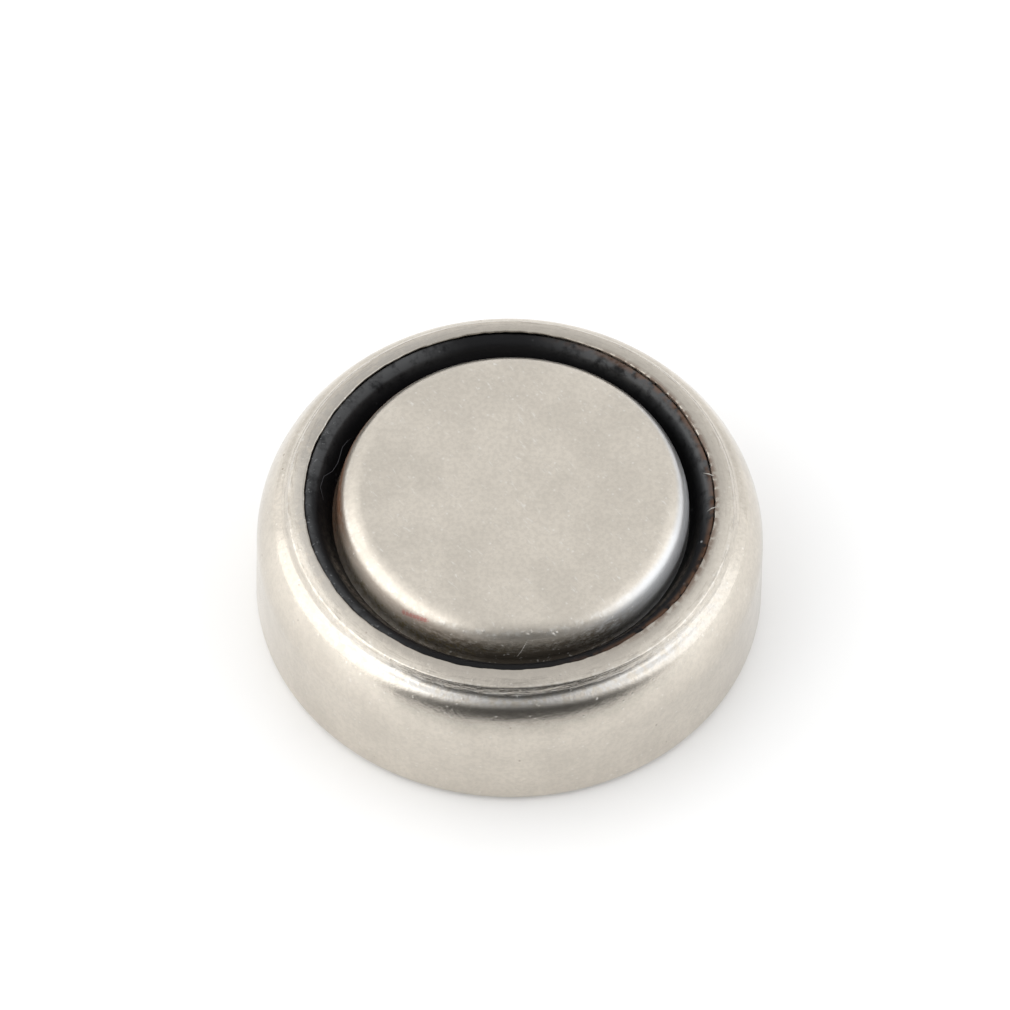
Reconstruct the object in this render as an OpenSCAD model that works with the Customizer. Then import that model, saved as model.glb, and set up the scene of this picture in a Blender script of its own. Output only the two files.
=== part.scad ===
// Alkaline button cell of the 11.6 mm class: a crimped can, a folded cap, the gasket between them,
// and the electrodes and separators that they hold. Every piece is a body of revolution.
// The cell stands on its positive face. The origin is the centre of that face, and +Z is the axis.

/* [Cell] */
// Outside diameter of the can
can_d = 11.6; // [11.0:0.05:12.2]
// Height of the whole cell, from the positive face to the negative face
cell_h = 4.1; // [3.8:0.05:5.4]
// How far the negative face stands above the can's lip
cap_rise = 0.35; // [0.3:0.01:0.6]

/* [Positive can] */
// Thickness of the can's steel sheet
can_t = 0.25; // [0.2:0.01:0.3]
// Radius of the edge round the positive face
can_edge_r = 0.28; // [0.24:0.01:0.5]
// Radius of the shoulder that the crimp rolls into the top of the wall
shoulder_r = 1.93; // [1.85:0.01:2.0]
// Depth from the lip down to the top of the straight wall
shoulder_depth = 1.65; // [1.62:0.01:1.72]
// Angle that the shoulder bends through before it tightens
shoulder_turn = 30; // [26:1:32]
// Straight stretch between the shoulder's two radii
shoulder_flat = 0.08; // [0.06:0.01:0.12]
// Tighter radius at the shoulder's top
shoulder_top_r = 0.8; // [0.7:0.01:0.9]
// How far the crimped ring's outer edge lies inside the wall
ring_inset = 0.68; // [0.65:0.005:0.71]
// Width of the crimped ring's face, from the lip to its outer edge
ring_w = 0.42; // [0.36:0.01:0.47]
// Fall of the ring's face from the lip to its outer edge
ring_slope = 20; // [14:1:23]
// Lean of the small step between ring and shoulder, from upright
step_lean = 25; // [20:1:28]
// Radius of the ring's outer edge
ring_edge_r = 0.08; // [0.05:0.01:0.1]
// Radius at the foot of the step
step_foot_r = 0.2; // [0.12:0.01:0.22]
// Radius of the edge round the opening
lip_edge_r = 0.04; // [0.03:0.01:0.08]

/* [Negative cap] */
// Thickness of the cap's clad sheet
cap_t = 0.2; // [0.15:0.01:0.25]
// Width of the groove between the lip and the crown
groove_w = 0.66; // [0.6:0.01:0.75]
// Radius of the crown's edge
crown_edge_r = 0.6; // [0.3:0.02:0.65]
// Radius where the crown's wall turns out into the cap's shoulder
crown_foot_r = 0.18; // [0.1:0.01:0.22]
// Radius of the cap's shoulder
cap_shoulder_r = 0.55; // [0.4:0.01:0.6]
// Gap left between the two leaves of the folded skirt
fold_gap = 0.02; // [0.01:0.005:0.04]
// Height of the leaf that is folded back up
fold_h = 0.6; // [0.45:0.01:0.65]

/* [Sealing gasket] */
// Thickness between the can's wall and the folded skirt
gasket_wall_t = 0.3; // [0.26:0.01:0.34]
// Height between the lip's sheet and the cap's shoulder
gasket_top_t = 0.49; // [0.45:0.01:0.53]
// Thickness of the foot under the folded skirt
gasket_foot_t = 0.3; // [0.2:0.01:0.35]
// Thickness of the leg inside the skirt
gasket_leg_t = 0.25; // [0.15:0.01:0.3]
// Height of the leg inside the skirt, above the foot
gasket_leg_h = 0.3; // [0.25:0.01:0.35]
// How far the squeezed bead stays below the lip
bead_drop = 0.07; // [0.04:0.01:0.12]
// Width of the bead's flat top
bead_w = 0.19; // [0.15:0.01:0.25]
// Lean of the bead's inner face, from upright
bead_lean = 32; // [28:1:36]
// Radius between the bead's top and its inner face
bead_r = 0.15; // [0.08:0.01:0.18]

/* [Electrodes and separators] */
// Height of the pressed cathode pellet
pellet_h = 1.2; // [1.0:0.01:1.25]
// Thickness of the cathode ring's steel
ring_t = 0.2; // [0.15:0.01:0.25]
// Width of the cathode ring's flange
flange_w = 0.95; // [0.7:0.01:1.2]
// Height of the cathode ring's outer leg, flange included
ring_leg_h = 0.6; // [0.4:0.01:0.8]
// Radius of the cathode ring's bend, outside
ring_bend_r = 0.15; // [0.1:0.01:0.2]
// Thickness of the barrier film
film_t = 0.08; // [0.04:0.01:0.12]
// Thickness of the absorbent pad
pad_t = 0.25; // [0.15:0.01:0.35]
// Room left between the gel and the inside of the crown
gel_room = 0.1; // [0.05:0.01:0.2]

/* [Fits] */
// Clearance between pieces that fit in or round each other: stacked layers rest face to face
seat_gap = 0.01; // [0.005:0.005:0.02]

/* [Hidden] */
$fn = 96;
least_corner_r = 0.05;      // sharpest inside corner of the pressed sheet
foot_room = 6;              // degrees of the shoulder that the ledge takes, for the radius at the step's foot
arc_overrun = 4;            // degrees that a corner's arc is drawn past each of its ends
hair = 0.00002;             // what a corner's arc is drawn too large

// Heights
lip_z = cell_h - cap_rise;
ring_z = lip_z - ring_w * tan(ring_slope);
wall_top_z = lip_z - shoulder_depth;
pellet_top_z = can_t + pellet_h;
film_top_z = pellet_top_z + film_t;
pad_top_z = film_top_z + pad_t;
fold_z = film_top_z + gasket_foot_t;
leg_top_z = fold_z + gasket_leg_h;
cap_shoulder_z = lip_z - can_t - gasket_top_t;
bead_z = lip_z - bead_drop;

// Radii from the axis
can_r = can_d / 2;
bore_r = can_r - can_t;
ring_r = can_r - ring_inset;
lip_r = ring_r - ring_w;
crown_r = lip_r - groove_w;
fold_out_r = bore_r - gasket_wall_t;
fold_mid_r = fold_out_r - cap_t - fold_gap / 2;
fold_mid_z = fold_z + cap_t + fold_gap / 2;
skirt_r = fold_mid_r - fold_gap / 2;
leg_r = skirt_r - cap_t - seat_gap - gasket_leg_t;
inner_r = bore_r - seat_gap;
ring_leg_r = inner_r - ring_t;
flange_r = inner_r - flange_w;

// ---- Outlines: corners as [r, z, corner radius], anticlockwise, with true arcs at the corners ----

function unit(v) = v / norm(v);
function polar(length, angle) = length * [cos(angle), sin(angle)];
function towards(p, q, length) = p + length * unit(q - p);

// How far a rounded corner's arc reaches along its two sides, and where the arc's centre lies
function bend(a, c, b) = acos(max(-1, min(1, unit(c - a) * unit(b - c))));
function reach(a, c, b, r) = r * tan(bend(a, c, b) / 2);
function arc_centre(a, c, b, r) = c + norm([r, reach(a, c, b, r)]) * unit(unit(a - c) + unit(b - c));
function turns_left(a, c, b) = cross(c - a, b - c) > 0;

// The point where the line through p along u crosses the line through q along v
function crossing(p, u, q, v) = p + u * cross(q - p, v) / cross(u, v);

// What lies between a corner's arc and its chord. The arc is a hair large and runs a little past
// both sides, so that it always meets them and leaves no sliver where it runs into them.
module corner_slice(a, c, b, r) {
    middle = arc_centre(a, c, b, r);
    out = c - middle;
    facing = atan2(out[1], out[0]);
    half = bend(a, c, b) / 2 + arc_overrun;
    intersection() {
        translate(middle) circle(r = r + hair);
        polygon([middle + polar(r, facing - half),
                 middle + polar(r / cos(half + arc_overrun), facing),
                 middle + polar(r, facing + half)]);
    }
}

module outline(corners) {
    n = len(corners);
    points = [for (c = corners) [c[0], c[1]]];
    before = [for (i = [0 : n - 1]) points[(i + n - 1) % n]];
    after = [for (i = [0 : n - 1]) points[(i + 1) % n]];
    cut = [for (i = [0 : n - 1]) reach(before[i], points[i], after[i], corners[i][2])];
    rounded = [for (i = [0 : n - 1]) if (corners[i][2] > 0) i];
    difference() {
        union() {
            polygon([for (i = [0 : n - 1]) each corners[i][2] > 0
                ? [towards(points[i], before[i], cut[i]), towards(points[i], after[i], cut[i])]
                : [points[i]]]);
            for (i = rounded)
                if (turns_left(before[i], points[i], after[i]))
                    corner_slice(before[i], points[i], after[i], corners[i][2]);
        }
        for (i = rounded)
            if (!turns_left(before[i], points[i], after[i]))
                corner_slice(before[i], points[i], after[i], corners[i][2]);
    }
}

// ---- The can's sheet, at a depth under its outer face ----

function edge_r(depth) = max(can_edge_r - depth, least_corner_r);

// The shoulder: where its straight stretch starts and ends, and the centre of its tighter arc
function stretch_start(depth) = [can_r - shoulder_r, wall_top_z] + polar(shoulder_r - depth, shoulder_turn);
stretch_way = polar(1, shoulder_turn + 90);
function stretch_end(depth) = stretch_start(depth) + shoulder_flat * stretch_way;
top_centre = stretch_end(shoulder_top_r);

// The step's flank and the ring's face: a point on each, and its direction down and out
function flank_point(depth) = [ring_r, ring_z] - polar(depth, step_lean);
flank_way = polar(1, step_lean - 90);
function face_point(depth) = [lip_r, lip_z] - polar(depth, 90 - ring_slope);
face_way = polar(1, -ring_slope);

// Where the flank meets the shoulder's tighter arc, as an angle round the arc's centre
function foot_angle() =
    let (from_centre = flank_point(0) - top_centre,
         along_flank = from_centre * flank_way,
         run = -along_flank - sqrt(pow(shoulder_top_r, 2) + pow(along_flank, 2) - from_centre * from_centre),
         foot = from_centre + run * flank_way)
    atan2(foot[1], foot[0]);

// The ledge that leads from the tighter arc to the step's foot
ledge_angle = foot_angle() - foot_room;
ledge_way = polar(1, ledge_angle + 90);
function ledge_point(depth) = top_centre + polar(shoulder_top_r - depth, ledge_angle);

// The corners of the can's form from the positive face up to the ring's outer edge
function can_corners(depth) =
    let (low = crossing([can_r - depth, 0], [0, 1], stretch_start(depth), stretch_way),
         high = crossing(stretch_start(depth), stretch_way, ledge_point(depth), ledge_way),
         foot = crossing(flank_point(depth), flank_way, ledge_point(depth), ledge_way),
         edge = crossing(flank_point(depth), flank_way, face_point(depth), face_way))
    [[0, depth, 0],
     [can_r - depth, depth, edge_r(depth)],
     [low[0], low[1], shoulder_r - depth],
     [high[0], high[1], shoulder_top_r - depth],
     [foot[0], foot[1], step_foot_r],
     [edge[0], edge[1], ring_edge_r]];

// All that lies inside a depth under the can's outer face
module can_form(depth) {
    inside_lip = face_point(depth) - can_t * face_way;
    outline(concat(can_corners(depth), [[inside_lip[0], inside_lip[1], 0],
                                        [0, inside_lip[1], 0]]));
}

module positive_can() {
    under_lip_z = lip_z - 2 * can_t;
    color([0.80, 0.77, 0.73])
    rotate_extrude()
    difference() {
        outline(concat(can_corners(0), [[lip_r, lip_z, lip_edge_r],
                                        [lip_r, under_lip_z, 0],
                                        [0, under_lip_z, 0]]));
        can_form(can_t);
    }
}

// ---- The cap's sheet, at a depth under its outer face: a negative depth lies outside it ----

module cap_form(depth) {
    outline([[0, fold_mid_z, 0],
             [skirt_r - depth, fold_mid_z, 0],
             [skirt_r - depth, cap_shoulder_z - depth, cap_shoulder_r - depth],
             [crown_r - depth, cap_shoulder_z - depth, crown_foot_r + depth],
             [crown_r - depth, cell_h - depth, crown_edge_r - depth],
             [0, cell_h - depth, 0]]);
}

// The turn at the bottom of the skirt and the leaf folded back up, grown by a clearance
module fold_form(clearance) {
    turn_r = fold_gap / 2 + cap_t + clearance;
    intersection() {
        translate([fold_mid_r, fold_mid_z]) circle(r = turn_r);
        translate([fold_mid_r - turn_r, fold_mid_z - turn_r]) square([2 * turn_r, turn_r]);
    }
    translate([fold_mid_r, fold_mid_z]) square([turn_r, fold_z + fold_h + clearance - fold_mid_z]);
}

// The slot between the two leaves, with its round end
module fold_slot() {
    translate([fold_mid_r, fold_mid_z]) circle(d = fold_gap);
    translate([fold_mid_r - fold_gap / 2, fold_mid_z]) square([fold_gap, fold_h]);
}

module negative_cap() {
    color([0.83, 0.80, 0.75])
    rotate_extrude()
    difference() {
        union() {
            difference() {
                cap_form(0);
                cap_form(cap_t);
            }
            fold_form(0);
        }
        fold_slot();
    }
}

// ---- The gasket fills what the can and the cap leave between them ----

module gasket_envelope() {
    bead_out_r = lip_r - seat_gap;
    bead_in_r = bead_out_r - bead_w;
    bead_foot_r = bead_in_r - (bead_z - cap_shoulder_z) * tan(bead_lean);
    intersection() {
        can_form(can_t + seat_gap);
        translate([bead_in_r, film_top_z]) square([can_r, cell_h]);
    }
    outline([[bead_foot_r, film_top_z, 0],
             [bead_out_r, film_top_z, 0],
             [bead_out_r, bead_z, 0],
             [bead_in_r, bead_z, bead_r],
             [bead_foot_r, cap_shoulder_z, 0]]);
}

module sealing_gasket() {
    color([0.06, 0.06, 0.07])
    rotate_extrude() {
        difference() {
            gasket_envelope();
            cap_form(-seat_gap);
            fold_form(seat_gap);
            square([leg_r, fold_mid_z]);
        }
        translate([leg_r, film_top_z]) square([gasket_leg_t, leg_top_z - film_top_z]);
    }
}

// ---- Electrodes and separators ----

module cathode_pellet() {
    collar_r = ring_leg_r - seat_gap;
    land_r = flange_r - seat_gap;
    color([0.13, 0.13, 0.14])
    rotate_extrude()
    outline([[0, can_t, 0],
             [inner_r, can_t, edge_r(can_t)],
             [inner_r, pellet_top_z - ring_leg_h, 0],
             [collar_r, pellet_top_z - ring_leg_h, 0],
             [collar_r, pellet_top_z - ring_t, least_corner_r],
             [land_r, pellet_top_z - ring_t, 0],
             [land_r, pellet_top_z, 0],
             [0, pellet_top_z, 0]]);
}

module cathode_ring() {
    color([0.72, 0.72, 0.72])
    rotate_extrude()
    outline([[flange_r, pellet_top_z - ring_t, 0],
             [ring_leg_r, pellet_top_z - ring_t, least_corner_r],
             [ring_leg_r, pellet_top_z - ring_leg_h, 0],
             [inner_r, pellet_top_z - ring_leg_h, 0],
             [inner_r, pellet_top_z, ring_bend_r],
             [flange_r, pellet_top_z, 0]]);
}

module barrier_film() {
    color([0.86, 0.82, 0.66])
    translate([0, 0, pellet_top_z]) cylinder(r = inner_r, h = film_t);
}

module absorbent_pad() {
    color([0.93, 0.93, 0.90])
    translate([0, 0, film_top_z]) cylinder(r = leg_r - seat_gap, h = pad_t);
}

module anode_gel() {
    lining = cap_t + seat_gap;
    gel_shoulder_z = cap_shoulder_z - lining;
    color([0.50, 0.51, 0.54])
    rotate_extrude()
    outline([[0, pad_top_z, 0],
             [leg_r - seat_gap, pad_top_z, 0],
             [leg_r - seat_gap, leg_top_z, 0],
             [skirt_r - lining, leg_top_z, 0],
             [skirt_r - lining, gel_shoulder_z, cap_shoulder_r - lining],
             [crown_r - lining, gel_shoulder_z, crown_foot_r + lining],
             [crown_r - lining, cell_h - cap_t - gel_room, crown_edge_r - lining],
             [0, cell_h - cap_t - gel_room, 0]]);
}

positive_can();
negative_cap();
sealing_gasket();
cathode_pellet();
cathode_ring();
barrier_film();
absorbent_pad();
anode_gel();
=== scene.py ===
import math

import bpy
import numpy as np
from mathutils import Matrix, Vector, noise


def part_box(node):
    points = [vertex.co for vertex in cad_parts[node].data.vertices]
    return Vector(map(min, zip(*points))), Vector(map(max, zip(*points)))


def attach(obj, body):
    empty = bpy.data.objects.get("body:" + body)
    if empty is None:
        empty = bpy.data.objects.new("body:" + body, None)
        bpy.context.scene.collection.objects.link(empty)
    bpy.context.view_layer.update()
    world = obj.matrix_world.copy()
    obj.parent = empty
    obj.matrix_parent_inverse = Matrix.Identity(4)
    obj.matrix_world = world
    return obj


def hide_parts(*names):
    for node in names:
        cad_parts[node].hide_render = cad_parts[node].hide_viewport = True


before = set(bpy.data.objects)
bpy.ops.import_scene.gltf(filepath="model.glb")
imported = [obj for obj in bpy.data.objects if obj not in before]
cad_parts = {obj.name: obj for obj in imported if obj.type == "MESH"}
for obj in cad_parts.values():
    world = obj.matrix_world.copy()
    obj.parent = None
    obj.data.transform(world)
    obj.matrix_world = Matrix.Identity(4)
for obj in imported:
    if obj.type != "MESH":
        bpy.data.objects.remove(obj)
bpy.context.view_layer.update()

bl_info = {
    "name": "Alkaline button cell",
    "version": (1, 0, 0),
    "blender": (4, 5, 0),
    "location": "3D View > Sidebar > Button cell",
    "description": "An alkaline button cell of satin nickel and black nylon on a pale stage",
    "category": "Object",
}

MM = 0.001
_, CAN_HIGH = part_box("positive_can")
CAP_LOW, CAP_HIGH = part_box("negative_cap")
GASKET_LOW, GASKET_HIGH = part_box("sealing_gasket")


# ---- Sizes and colours that a user may change ----

def length(name, millimetres, description):
    return bpy.props.FloatProperty(name=name, description=description, default=millimetres * MM,
                                   min=0.0, precision=6, unit="LENGTH")


def offset(name, millimetres, description):
    return bpy.props.FloatProperty(name=name, description=description, default=millimetres * MM,
                                   precision=6, unit="LENGTH")


def angle(name, degrees, description):
    return bpy.props.FloatProperty(name=name, description=description, default=math.radians(degrees),
                                   subtype="ANGLE", unit="ROTATION")


def factor(name, value, description, highest=1.0):
    return bpy.props.FloatProperty(name=name, description=description, default=value,
                                   min=0.0, max=highest, subtype="FACTOR")


def colour(name, value, description):
    return bpy.props.FloatVectorProperty(name=name, description=description, default=value,
                                         size=3, min=0.0, max=1.0, subtype="COLOR")


class CanSizes(bpy.types.PropertyGroup):
    """Positive can"""
    sheet: length("Sheet", 0.25, "Thickness of the can's steel sheet")
    cap_rise: length("Cap rise", 0.35, "How far the negative face stands above the can's lip")
    edge_radius: length("Edge radius", 0.28, "Radius of the edge round the positive face")
    shoulder_radius: length("Shoulder radius", 1.93, "Radius of the shoulder that the crimp rolls")
    shoulder_depth: length("Shoulder depth", 1.65, "From the lip down to the top of the straight wall")
    shoulder_turn: angle("Shoulder turn", 31.6, "Angle that the shoulder bends through before it tightens")
    shoulder_flat: length("Shoulder flat", 0.05, "Straight stretch between the shoulder's two radii")
    shoulder_top_radius: length("Shoulder top radius", 0.5, "Tighter radius at the shoulder's top")
    ledge_room: angle("Ledge room", 11.0, "Part of the shoulder's turn that the ledge under the step takes")
    ring_inset: length("Ring inset", 0.70, "From the wall in to the crimped ring's outer edge")
    ring_width: length("Ring width", 0.41, "Width of the crimped ring's face")
    ring_slope: angle("Ring slope", 20.0, "Fall of the ring's face from the lip to its outer edge")
    ring_swell: length("Ring swell", 0.020, "How far the middle of the ring's face swells")
    ring_swell_radius: length("Ring swell radius", 1.1, "Radius of the ring's face along its swell")
    ring_edge_radius: length("Ring edge radius", 0.08, "Radius of the ring's outer edge")
    step_lean: angle("Step lean", 28.5, "Lean of the small step between ring and shoulder, from upright")
    foot_radius: length("Step foot radius", 0.32, "Radius at the foot of the step")
    lip_radius: length("Lip radius", 0.045, "Radius of the worn edge round the opening")
    lip_wander: length("Lip wander", 0.045, "How far the ragged edge of the opening strays from its circle")
    lip_shift_right: offset("Lip shift right", -0.026, "How far right of the can's axis the opening sits")
    lip_shift_back: offset("Lip shift back", 0.020, "How far behind the can's axis the opening sits")
    edge_wander: length("Ring edge wander", 0.012, "How far the ring's outer edge strays from its circle")
    ripple: length("Ripple", 0.004, "Depth of the ripples that the crimp leaves in the shoulder")


class CapSizes(bpy.types.PropertyGroup):
    """Negative cap"""
    sheet: length("Sheet", 0.2, "Thickness of the cap's clad sheet")
    groove_width: length("Groove width", 0.66, "From the opening's edge in to the crown's wall")
    crown_edge_radius: length("Crown edge radius", 0.62, "Radius of the crown's edge")
    crown_foot_radius: length("Crown foot radius", 0.18, "Radius where the crown turns into the shoulder")
    shoulder_radius: length("Shoulder radius", 0.55, "Radius of the cap's shoulder")
    shoulder_drop: length("Shoulder drop", 0.74, "From the can's lip down to the cap's shoulder")
    fold_gap: length("Fold gap", 0.02, "Gap between the two leaves of the folded skirt")
    fold_height: length("Fold height", 0.6, "Height of the leaf that is folded back up")
    crown_shift: length("Crown shift", 0.055, "How far the crown sits off the can's axis")


class GasketSizes(bpy.types.PropertyGroup):
    """Sealing gasket"""
    bead_width: length("Bead width", 0.21, "Width of the squeezed bead's top")
    bead_lean: angle("Bead lean", 32.0, "Lean of the bead's inner face, from upright")
    bead_radius: length("Bead radius", 0.26, "Radius between the bead's top and its inner face")
    bead_edge_radius: length("Bead edge radius", 0.035, "Radius of the bead's top beside the can's lip")
    leg_thickness: length("Leg thickness", 0.25, "Thickness of the leg inside the cap's skirt")
    leg_height: length("Leg height", 0.3, "Height of the leg above the gasket's foot")
    seat_gap: length("Seat gap", 0.01, "Clearance between the gasket and the metal")
    squeeze: length("Squeeze", 0.03, "Unevenness that the crimp leaves in the bead")


class Finishes(bpy.types.PropertyGroup):
    """Colours"""
    nickel: colour("Nickel", (0.655, 0.606, 0.534), "Satin nickel of the can and the cap")
    # Bright nickel: rubbed or scratched metal, and also the colour of painted glints and painted highlights.
    bright_nickel_and_glint: colour("Bright nickel", (0.800, 0.785, 0.750), "Nickel where it is rubbed or scratched")
    cool_nickel: colour("Cool nickel", (0.430, 0.455, 0.480), "Worn plating beside the lip, bluish")
    # A painted sheen: the bluish reflection down the crown's edge at the right, also used on the ledge and
    # the crown's right wall.
    painted_cool_sheen: colour("Cool edge", (0.640, 0.655, 0.675), "Bluish sheen down the crown's edge at the right")
    stain: colour("Stain", (0.110, 0.058, 0.034), "Brown stain where metal and nylon meet")
    rust: colour("Rust", (0.115, 0.043, 0.016), "Rust at the crown's foot on the left")
    # Painted shade: brownish, down the crown's lower wall in front, in the groove.
    painted_groove_shade: colour("Tarnish", (0.160, 0.125, 0.085), "Brownish film down the crown's wall")
    grit: colour("Grit", (0.440, 0.375, 0.315), "Brown grain down the crown's wall at the left")
    red_fleck: colour("Red fleck", (0.470, 0.185, 0.165), "Reddish fleck on the crown's edge")
    gold_fleck: colour("Gold fleck", (0.300, 0.235, 0.110), "Gold flecks at the crown's foot")
    nylon: colour("Nylon", (0.0062, 0.0062, 0.0070), "Black nylon of the gasket")
    soil: colour("Soil", (0.085, 0.072, 0.056), "Soil in the bottom of the groove, in front of the crown")
    # Also the colour of the painted sheen and painted glints on the gasket.
    dust: colour("Dust", (0.30, 0.31, 0.32), "Dust and dried film on the gasket")
    lint: colour("Lint", (0.62, 0.60, 0.56), "Pale stray fibres at the lip")
    dark_lint: colour("Dark lint", (0.055, 0.055, 0.063), "Dark stray fibres in the groove")
    cathode: colour("Cathode mix", (0.018, 0.018, 0.020), "Pressed manganese dioxide and graphite")
    ring_steel: colour("Ring steel", (0.50, 0.49, 0.47), "Steel of the cathode ring")
    cellophane: colour("Cellophane", (0.60, 0.50, 0.28), "Barrier film")
    fibre: colour("Fibre", (0.76, 0.74, 0.66), "Non-woven pad")
    zinc: colour("Zinc gel", (0.105, 0.112, 0.125), "Zinc powder gel")


class StageSettings(bpy.types.PropertyGroup):
    """Camera, floor and lights"""
    camera_distance: length("Camera distance", 580.0, "From the middle of the cell to the camera")
    camera_elevation: angle("Camera elevation", 55.36, "How far the camera stands above the floor's plane")
    camera_roll: angle("Camera roll", 1.27, "How far the camera leans, anticlockwise")
    camera_lens: bpy.props.FloatProperty(name="Lens", description="Focal length", default=901.8,
                                         min=1.0, unit="CAMERA")
    look_at_height: length("Look-at height", 1.813, "Height of the point that the camera is aimed from")
    frame_right: offset("Frame right", -0.108, "How far right of that point the middle of the frame lies")
    frame_up: offset("Frame up", 0.983, "How far above that point the middle of the frame lies")
    floor_size: length("Floor size", 1600.0, "Side of the floor")
    floor_tone: factor("Floor tone", 0.93, "Reflectance of the floor")
    floor_lift: factor("Floor lift", 0.08, "Brightness that the camera and reflections add to the floor")
    left_radiance: factor("Left box", 0.66, "Brightness of the left soft box, where 1 is white", highest=4.0)
    left_spill: factor("Left spill", 0.32, "Brightness of the spill round the left soft box", highest=4.0)
    right_radiance: factor("Right box", 0.42, "Brightness of the right soft box, where 1 is white",
                           highest=4.0)
    right_spill: factor("Right spill", 0.24, "Brightness of the spill round the right soft box", highest=4.0)
    curtain_tone: factor("Curtain tone", 0.10, "Brightness of the dark curtain in front")
    curtain_turn: angle("Curtain turn", 7.0, "How far right of the front the curtain's middle hangs")
    curtain_half: angle("Curtain half width", 53.0, "From the curtain's middle to where it has half faded")
    curtain_fade: angle("Curtain fade", 24.0, "From there to where it has wholly faded")
    curtain_narrowing: factor("Curtain narrowing", 0.80,
                              "How much narrower the half width is per degree of height")


# ---- Outlines: points and corners are (r, z) ----

def polar(distance, turn):
    return Vector((distance * math.cos(turn), distance * math.sin(turn)))


def crossing(p, along, q, other):
    """Where the line through p along one way crosses the line through q along the other."""
    return p + along * ((q - p).cross(other) / along.cross(other))


def meets_circle(p, along, centre, radius, side):
    """Where the line through p meets a circle: side is -1 for the first point and 1 for the last."""
    from_centre = p - centre
    middle = -from_centre.dot(along)
    half_chord = math.sqrt(radius ** 2 + middle ** 2 - from_centre.length_squared)
    return p + along * (middle + side * half_chord)


def rounded(corners, step, guard=0.012 * MM):
    """The points of a closed outline whose corners are (r, z, radius). Arcs have a point every step, and
    where there is room an arc has one more just beyond each end, which keeps the shading of flats flat."""
    spots = [Vector(corner[:2]) for corner in corners]
    count = len(corners)
    backs = [(spots[i - 1] - spots[i]).normalized() for i in range(count)]
    aheads = [(spots[(i + 1) % count] - spots[i]).normalized() for i in range(count)]
    bends = [math.pi - back.angle(ahead) for back, ahead in zip(backs, aheads)]
    reaches = [corner[2] * math.tan(bend / 2) for corner, bend in zip(corners, bends)]
    points = []

    def put(point):
        if not points or (point - points[-1]).length > 1e-8:
            points.append(point)

    for i, (spot, back, ahead, bend, reach) in enumerate(zip(spots, backs, aheads, bends, reaches)):
        radius = corners[i][2]
        if radius <= 0.0:
            put(spot)
            continue
        after = (i + 1) % count
        room_back = (spots[i - 1] - spot).length - reach - reaches[i - 1] > 3 * guard
        room_ahead = (spots[after] - spot).length - reach - reaches[after] > 3 * guard
        centre = spot + (back + ahead).normalized() * math.hypot(radius, reach)
        start = spot + back * reach - centre
        turn = math.copysign(bend, (-back).cross(ahead))
        pieces = max(2, math.ceil(bend / step))
        if room_back:
            put(spot + back * (reach + guard))
        for k in range(pieces + 1):
            put(centre + Matrix.Rotation(turn * k / pieces, 2) @ start)
        if room_ahead:
            put(spot + ahead * (reach + guard))
    return points


def densified(points, longest):
    """The same outline with no side longer than a length, apart from sides that lie on the axis."""
    dense = []
    for i, a in enumerate(points):
        b = points[(i + 1) % len(points)]
        dense.append(a)
        if max(a[0], b[0]) > 1e-9:
            pieces = max(1, math.ceil((b - a).length / longest))
            dense += [a.lerp(b, k / pieces) for k in range(1, pieces)]
    return dense


def lip_corner(can):
    """The edge of the can's opening, before it is rounded."""
    return Vector((CAN_HIGH.x - can.ring_inset - can.ring_width, CAP_HIGH.z - can.cap_rise))


def ring_corner(can):
    """The crimped ring's outer edge, before it is rounded."""
    return lip_corner(can) + can.ring_width * Vector((1.0, -math.tan(can.ring_slope)))


def face_line(can, depth):
    """The ring's face at a depth under the can's outer face: a point beside the lip and the way out."""
    return lip_corner(can) - polar(depth, math.pi / 2 - can.ring_slope), polar(1.0, -can.ring_slope)


def can_corners(can, depth):
    """Corners of the can's form at a depth under its outer face, from the positive face to the ring."""
    can_r = CAN_HIGH.x
    wall_top_z = lip_corner(can).y - can.shoulder_depth
    upright = Vector((0.0, 1.0))
    stretch_way = polar(1.0, can.shoulder_turn + math.pi / 2)
    middle = Vector((can_r - can.shoulder_radius, wall_top_z))
    stretch = middle + polar(can.shoulder_radius - depth, can.shoulder_turn)
    top_centre = (middle + polar(can.shoulder_radius - can.shoulder_top_radius, can.shoulder_turn)
                  + can.shoulder_flat * stretch_way)
    flank_way = polar(1.0, can.step_lean - math.pi / 2)
    foot = meets_circle(ring_corner(can), flank_way, top_centre, can.shoulder_top_radius, -1) - top_centre
    ledge_turn = math.atan2(foot.y, foot.x) - can.ledge_room
    ledge_way = polar(1.0, ledge_turn + math.pi / 2)
    ledge = top_centre + polar(can.shoulder_top_radius - depth, ledge_turn)
    flank = ring_corner(can) - polar(depth, can.step_lean)
    face, face_way = face_line(can, depth)
    return [(0.0, depth, 0.0),
            (can_r - depth, depth, max(can.edge_radius - depth, 0.05 * MM)),
            (*crossing(Vector((can_r - depth, 0.0)), upright, stretch, stretch_way),
             can.shoulder_radius - depth),
            (*crossing(stretch, stretch_way, ledge, ledge_way), can.shoulder_top_radius - depth),
            (*crossing(flank, flank_way, ledge, ledge_way), can.foot_radius),
            (*crossing(flank, flank_way, face, face_way), can.ring_edge_radius)]


def beside_lip(can, depth, inward=0.0):
    """Where the ring's face at a depth meets the upright edge of the opening, or a circle inside it."""
    face, face_way = face_line(can, depth)
    return crossing(face, face_way, lip_corner(can) - Vector((inward, 0.0)), Vector((0.0, 1.0)))


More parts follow.
